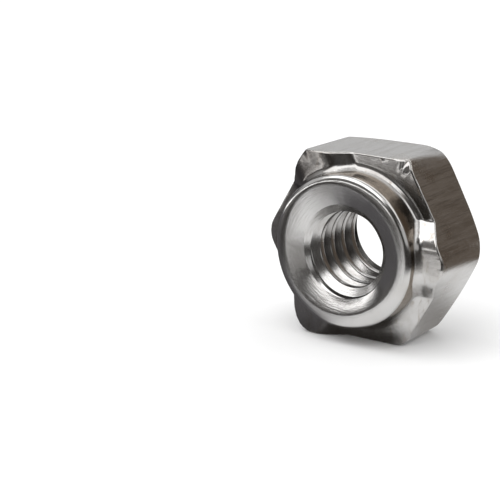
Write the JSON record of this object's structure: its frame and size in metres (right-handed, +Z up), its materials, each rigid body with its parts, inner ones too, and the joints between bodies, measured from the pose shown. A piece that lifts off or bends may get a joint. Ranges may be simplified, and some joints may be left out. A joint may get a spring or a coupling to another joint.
{
  "type": "hex weld nut",
  "caption": "Hexagonal weld nut with a dished pilot collar and corner projections, for welding a threaded hole to sheet metal.",
  "frame": {"origin": "on the thread axis, in the plane of the weld face", "axes": "-Y along the thread axis out of the pilot collar, +Z up, X across two opposite corners; the nut stands on a hexagon flat"},
  "size_m": [0.0142, 0.0071, 0.0126],
  "materials": {
    "steel": "drawn hexagon flats, cold-formed weld face and turned collar, bright stainless steel"
  },
  "bodies": {
    "root": {"weld_nut": "steel"}
  },
  "joints": []
}
